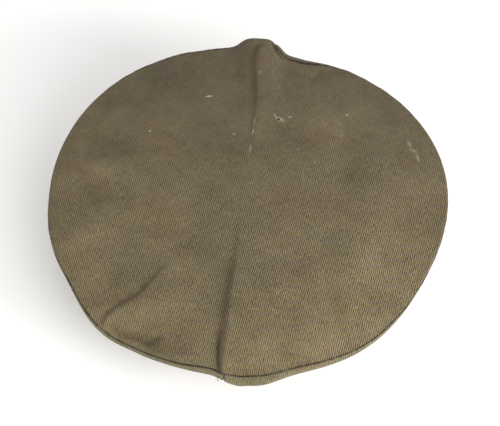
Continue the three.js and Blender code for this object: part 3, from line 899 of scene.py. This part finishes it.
band_rows = 2 * BAND_WALL_ROWS + 2 * BAND_FOLD_ROWS
section = [(band_rows * 2 + row, 0) for row in range(band_rows)]
bm, angle, row, level = spun(section, BAND_STEPS, closed=True)
row = np.round(row) - band_rows * 2
points, share = band_points(angle, row, 0)
points, share = band_points(angle, row, band_relief(angle, share))
move_vertices(bm, points)
# Dirt and painted shade in the band's sunk places, such as the stitched channels and the join at the back.
lay_dirt_and_shade(bm, np.clip(-0.35 * np.minimum(band_relief(angle, share), 0), 0, 0.6))
outside = row <= BAND_WALL_ROWS + BAND_FOLD_ROWS / 2
lay_weave(bm, np.stack([(angle % (2 * np.pi)) * 92, share * BAND_HEIGHT * np.where(outside, 1, -1)], -1),
          2 * np.pi * 92)
bmesh.ops.recalc_face_normals(bm, faces=bm.faces)
band = finished_piece("band_cloth", bm, "band", band_twill)


# Peak

PEAK_COLUMNS = 220
PEAK_TOP_ROWS = 72
PEAK_EDGE_ROWS = 6
PEAK_STITCHING = (2.2, 9, 16, 23, 30, 37)


def peak_points(angle, row, raised=0):
    """The peak by row: out along the top, round the edge and back underneath."""
    away = np.minimum(1, np.abs(np.degrees(angle) - 90) / PEAK_SPREAD)
    fullness = (1 - away**2.4) ** 0.9
    depth = np.maximum(PEAK_END, PEAK_DEPTH * fullness)
    rim = rim_height(angle)
    drop = rim * fullness**0.5
    level = np.sqrt(np.maximum(depth**2 - drop**2, 1))
    points = upright(angle, band_radius(angle, PEAK_THICKNESS / BAND_HEIGHT) + PEAK_GAP, angle * 0)
    normal = np.stack([np.cos(angle) / HEAD_WIDTH, np.sin(angle) / HEAD_LENGTH], -1)
    normal /= np.linalg.norm(normal, axis=1, keepdims=True)
    out = blend(normal, np.array([0, 1.0]), 0.35)
    out /= np.linalg.norm(out, axis=1, keepdims=True)
    half = PEAK_THICKNESS / 2
    edge_turn = np.clip((row - PEAK_TOP_ROWS) / PEAK_EDGE_ROWS, 0, 1) * np.pi
    back = np.clip((row - PEAK_TOP_ROWS - PEAK_EDGE_ROWS) / PEAK_TOP_ROWS, 0, 1)
    share = np.clip(row / PEAK_TOP_ROWS, 0, 1) - back
    straight = np.maximum(level - half, 0.2)
    arch = PEAK_ARCH * np.sin(np.pi * share)
    face = np.where(edge_turn < np.pi / 2, 1, -1)
    points[:, :2] += out * (straight * share + half * np.sin(edge_turn))[:, None]
    points[:, 2] = rim - drop * share + arch + half + half * np.cos(edge_turn) + raised * face
    return points, share, level * share, level


def peak_relief(points, reach, level):
    """Rows of stitching, sunk in the padded cloth."""
    raised = ruffle(points * (1, 1, 0), 8, 21) * 0.15
    for inset in PEAK_STITCHING:
        raised -= 0.45 * np.exp(-(((level - reach - inset) / 0.85) ** 2))
    return raised


peak_rows = 2 * PEAK_TOP_ROWS + PEAK_EDGE_ROWS
bm, column, row = flat_grid(PEAK_COLUMNS, peak_rows)
angle = np.radians(90 + PEAK_SPREAD * (2 * column / PEAK_COLUMNS - 1))
points, share, reach, level = peak_points(angle, row)
on_face = (share > 0) & (share < 1)
relief = peak_relief(points, reach, level) * on_face
points, share, reach, level = peak_points(angle, row, relief)
move_vertices(bm, points)
# Dirt and painted shade in the sunk rows of stitching.
lay_dirt_and_shade(bm, np.clip(-0.6 * relief, 0, 0.5))
lay_weave(bm, np.stack([points[:, 0], points[:, 1] * np.where(row > PEAK_TOP_ROWS + PEAK_EDGE_ROWS / 2, -1, 1)], -1))
bmesh.ops.holes_fill(bm, edges=[edge for edge in bm.edges if edge.is_boundary], sides=0)
bmesh.ops.recalc_face_normals(bm, faces=bm.faces)
peak = finished_piece("peak_cloth", bm, "peak", peak_twill)


# Sewing

def facing(point_of, angle):
    """Way out of a ring of surface points, from how they move when raised."""
    return point_of(angle, 1) - point_of(angle, 0)


round_cap = np.radians(np.arange(0, 360, 0.25))
seam_floor = 0.75


def seam_line(angle, raised):
    seam = seam_turn(angle)
    return upright(angle, *on_roll(angle, seam, seam_floor - raised))


line = seam_line(round_cap, 0)
points, ways, share = evenly_spaced(np.vstack([line, line[:1]]), STITCH_PITCH)
sew("edge_seam_stitches", [(points, ways, facing(seam_line, share * 2 * np.pi))])

rows = []
for at in BAND_STITCHING:
    def band_line(angle, raised):
        row_here = np.full(angle.shape, (1 - at) * BAND_WALL_ROWS)
        _, share_here = band_points(angle, row_here, 0)
        return band_points(angle, row_here, band_relief(angle, share_here) + 0.12 + raised)[0]
    line = band_line(round_cap, 0)
    points, ways, share = evenly_spaced(np.vstack([line, line[:1]]), STITCH_PITCH)
    rows.append((points, ways, facing(band_line, share * 2 * np.pi)))
sew("band_stitches", rows)

rows = []
round_peak = np.radians(np.linspace(90 - PEAK_SPREAD, 90 + PEAK_SPREAD, 600))
for inset in PEAK_STITCHING:
    _, _, _, level = peak_points(round_peak, np.zeros(round_peak.shape))
    sewn = level > inset + 2.5
    angle = round_peak[sewn]
    row_here = (1 - inset / level[sewn]) * PEAK_TOP_ROWS
    points, share, reach, level = peak_points(angle, row_here)
    line = peak_points(angle, row_here, peak_relief(points, reach, level) + 0.12)[0]
    points, ways, share = evenly_spaced(line, STITCH_PITCH)
    rows.append((points, ways, np.tile((0, 0, 1), (len(points), 1))))
sew("peak_stitches", rows)


def loose_end(name, knots, radius):
    """A length of thread through some points, in millimetres."""
    spots = rounded_thread(knots)
    bm = bmesh.new()
    ring = bmesh.ops.create_circle(bm, segments=6, radius=radius * MM)["verts"]
    bmesh.ops.translate(bm, verts=ring, vec=(spots[0] + SHIFT) * MM)
    edges = list({edge for vert in ring for edge in vert.link_edges})
    for here, after in zip(spots, spots[1:]):
        drawn = bmesh.ops.extrude_edge_only(bm, edges=edges)["geom"]
        ring = [part for part in drawn if isinstance(part, bmesh.types.BMVert)]
        edges = [part for part in drawn if isinstance(part, bmesh.types.BMEdge)
                 and all(vert in ring for vert in part.verts)]
        bmesh.ops.translate(bm, verts=ring, vec=(after - here) * MM)
    bmesh.ops.holes_fill(bm, edges=[edge for edge in bm.edges if edge.is_boundary], sides=0)
    bmesh.ops.recalc_face_normals(bm, faces=bm.faces)
    return finished_piece(name, bm, material=sewing_thread)


def rounded_thread(knots, steps=6):
    knots = np.array(knots, float)
    knots = np.vstack([2 * knots[0] - knots[1], knots, 2 * knots[-1] - knots[-2]])
    spots = []
    for a, b, c, d in zip(knots, knots[1:], knots[2:], knots[3:]):
        for t in np.arange(steps) / steps:
            spots.append(0.5 * (2 * b + (c - a) * t + (2 * a - 5 * b + 4 * c - d) * t**2 + (3 * b - a - 3 * c + d) * t**3))
    return np.array(spots + [knots[-2]])


seam_end = upright(np.radians([268.6]), *on_roll(np.radians([268.6]), np.radians([40.0])))[0]
loose_end("loose_thread", [seam_end + (1.5, 3, 1), seam_end, seam_end + (-1.0, -1.2, -1.2),
                           seam_end + (-0.9, -2.0, -2.4), seam_end + (0.2, -2.2, -3.2)], 0.24)


# Floor, light and camera

bm = bmesh.new()
bmesh.ops.create_grid(bm, x_segments=1, y_segments=1, size=6)
floor_mesh = bpy.data.meshes.new("floor")
bm.to_mesh(floor_mesh)
bm.free()
floor = bpy.data.objects.new("floor", floor_mesh)
bpy.context.scene.collection.objects.link(floor)
paper = Finish("white_paper", roughness=0.9)
paper.shader.inputs["Base Color"].default_value = (0.955, 0.95, 0.94, 1)
floor_mesh.materials.append(paper.material)


def soft_light(name, place, aim, size, power, colour=(1, 1, 1)):
    lamp = bpy.data.lights.new(name, "AREA")
    lamp.shape = "DISK"
    lamp.size = size
    lamp.energy = power
    lamp.color = colour
    holder = bpy.data.objects.new(name, lamp)
    holder.location = place
    holder.rotation_euler = (Vector(aim) - Vector(place)).to_track_quat("-Z", "Y").to_euler()
    bpy.context.scene.collection.objects.link(holder)


scene = bpy.context.scene
scene.view_settings.view_transform = "Standard"
world = bpy.data.worlds.new("studio")
world.use_nodes = True
world.node_tree.nodes["Background"].inputs["Color"].default_value = (1, 0.995, 0.99, 1)
world.node_tree.nodes["Background"].inputs["Strength"].default_value = 0.9
scene.world = world
soft_light("window", (1.25, -0.65, 0.7), (0, 0, 0.06), 0.7, 19)
soft_light("fill", (0.3, -0.75, 0.75), (0, -0.05, 0.06), 0.6, 4.2)

VIEW_AZIMUTH = math.radians(6.6)
VIEW_ELEVATION = math.radians(58)
VIEW_DISTANCE = 2.0
aim = Vector(tuple((SHIFT + (3.8, -9.0, 78)) * MM))
camera_data = bpy.data.cameras.new("camera")
camera_data.lens = 200
camera_data.sensor_width = 36
camera = bpy.data.objects.new("camera", camera_data)
away = Vector((math.sin(VIEW_AZIMUTH) * math.cos(VIEW_ELEVATION),
               -math.cos(VIEW_AZIMUTH) * math.cos(VIEW_ELEVATION), math.sin(VIEW_ELEVATION)))
camera.location = aim + away * VIEW_DISTANCE
camera.rotation_euler = (-away).to_track_quat("-Z", "Y").to_euler()
scene.collection.objects.link(camera)
scene.camera = camera
